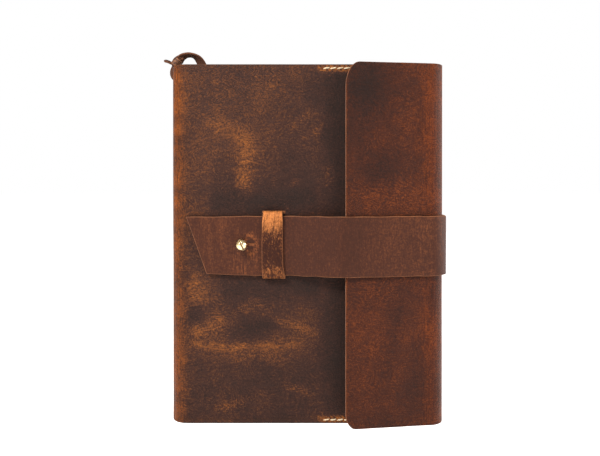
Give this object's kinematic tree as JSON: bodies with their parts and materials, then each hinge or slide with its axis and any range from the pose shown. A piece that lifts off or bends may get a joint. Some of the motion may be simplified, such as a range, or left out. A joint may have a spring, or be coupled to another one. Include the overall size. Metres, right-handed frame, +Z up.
{
  "type": "leather notebook cover",
  "caption": "Leather wrap cover for an A5 notebook with a front flap, a strap through a keeper loop onto a ball stud, sewn inner sleeves and a knotted bookmark lace.",
  "frame": {"origin": "middle of the base that the closed cover stands on (without the bookmark lace)", "axes": "+Z up along the spine, spine at -X, front cover with its flap and strap faces -Y"},
  "size_m": [0.177, 0.0466, 0.2306],
  "materials": {
    "cover_leather": "dark brown waxed pull-up leather, satin, scuffed golden brown",
    "flap_leather": "reddish brown waxed pull-up leather, satin",
    "strap_leather": "smooth reddish brown leather, satin",
    "keeper_leather": "reddish brown pull-up leather, lightened where it bends",
    "lace_leather": "thin brown leather thong, rough cut",
    "sleeve_leather": "suede-like flesh side, matte",
    "linen_thread": "waxed cream linen thread",
    "card": "uncoated kraft card; wood density stands for pressed pulp",
    "paper": "uncoated cream paper; wood density stands for pressed pulp",
    "brass": "polished brass"
  },
  "bodies": {
    "back_cover": {"back_panel": "cover_leather", "back_fold": "cover_leather", "fore_edge_back_fold": "cover_leather", "back_sleeve": "sleeve_leather", "thread_back_top": "linen_thread", "thread_back_bottom": "linen_thread", "thread_back_side": "linen_thread", "notebook_back_card": "card", "pages_back": "paper", "strap_anchor": "strap_leather", "strap_back_fold": "strap_leather", "thread_strap_anchor": "linen_thread", "bookmark_lace": "lace_leather"},
    "spine": {"spine_panel": "cover_leather", "front_fold": "cover_leather", "notebook_spine": "card", "lace_loop": "lace_leather", "lace_knot": "lace_leather"},
    "front_cover": {"front_panel": "cover_leather", "front_sleeve": "sleeve_leather", "thread_front_top": "linen_thread", "thread_front_bottom": "linen_thread", "thread_front_side": "linen_thread", "notebook_front_card": "card", "keeper_loop": "keeper_leather", "stud_head": "brass", "stud_screw": "brass"},
    "pages_front": {"pages_front": "paper"},
    "fore_edge": {"fore_edge_wall": "cover_leather", "flap_fold": "flap_leather"},
    "flap": {"flap_panel": "flap_leather"},
    "strap_side": {"strap_side": "strap_leather", "strap_front_fold": "strap_leather"},
    "strap_front": {"strap_front": "strap_leather"},
    "strap_tip": {"strap_tip": "strap_leather"}
  },
  "joints": [
    {"name": "spine_turn", "type": "hinge", "parent": "back_cover", "child": "spine", "pos_m": [-0.08212, 0.01725, 0.11], "axis": [0, 0, -1], "range_deg": [0, 88], "deforming": ["back_fold", "bookmark_lace"]},
    {"name": "cover_open", "type": "hinge", "parent": "spine", "child": "front_cover", "pos_m": [-0.08212, -0.00789, 0.11], "axis": [0, 0, -1], "range_deg": [0, 88], "deforming": ["front_fold"]},
    {"name": "pages_turn", "type": "hinge", "parent": "back_cover", "child": "pages_front", "pos_m": [-0.07925, 0.00468, 0.11], "axis": [0, 0, -1], "range_deg": [0, 173.4]},
    {"name": "fore_edge_turn", "type": "hinge", "parent": "back_cover", "child": "fore_edge", "pos_m": [0.07983, 0.01746, 0.11], "axis": [0, 0, 1], "range_deg": [0, 88], "deforming": ["fore_edge_back_fold"]},
    {"name": "flap_open", "type": "hinge", "parent": "fore_edge", "child": "flap", "pos_m": [0.08012, -0.01058, 0.11], "axis": [0, 0, 1], "range_deg": [0, 82.5], "deforming": ["flap_fold", "flap_panel"]},
    {"name": "strap_side_turn", "type": "hinge", "parent": "back_cover", "child": "strap_side", "pos_m": [0.08172, 0.01935, 0.11], "axis": [0, 0, 1], "range_deg": [0, 88], "deforming": ["strap_back_fold"]},
    {"name": "strap_front_turn", "type": "hinge", "parent": "strap_side", "child": "strap_front", "pos_m": [0.08209, -0.01231, 0.11], "axis": [0, 0, 1], "range_deg": [0, 82.5], "deforming": ["strap_front_fold", "strap_front"]},
    {"name": "strap_tip_lift", "type": "hinge", "parent": "strap_front", "child": "strap_tip", "pos_m": [-0.02875, -0.01312, 0.11], "axis": [0, 0, 1], "range_deg": [0, 45], "deforming": ["strap_tip"]}
  ],
  "couplings": [
    {"joint": "spine_turn", "follows": "cover_open", "ratio": 1},
    {"joint": "pages_turn", "follows": "cover_open", "ratio": 1.97},
    {"joint": "fore_edge_turn", "follows": "cover_open", "ratio": 1},
    {"joint": "strap_side_turn", "follows": "cover_open", "ratio": 1},
    {"joint": "strap_front_turn", "follows": "flap_open", "ratio": 1}
  ]
}
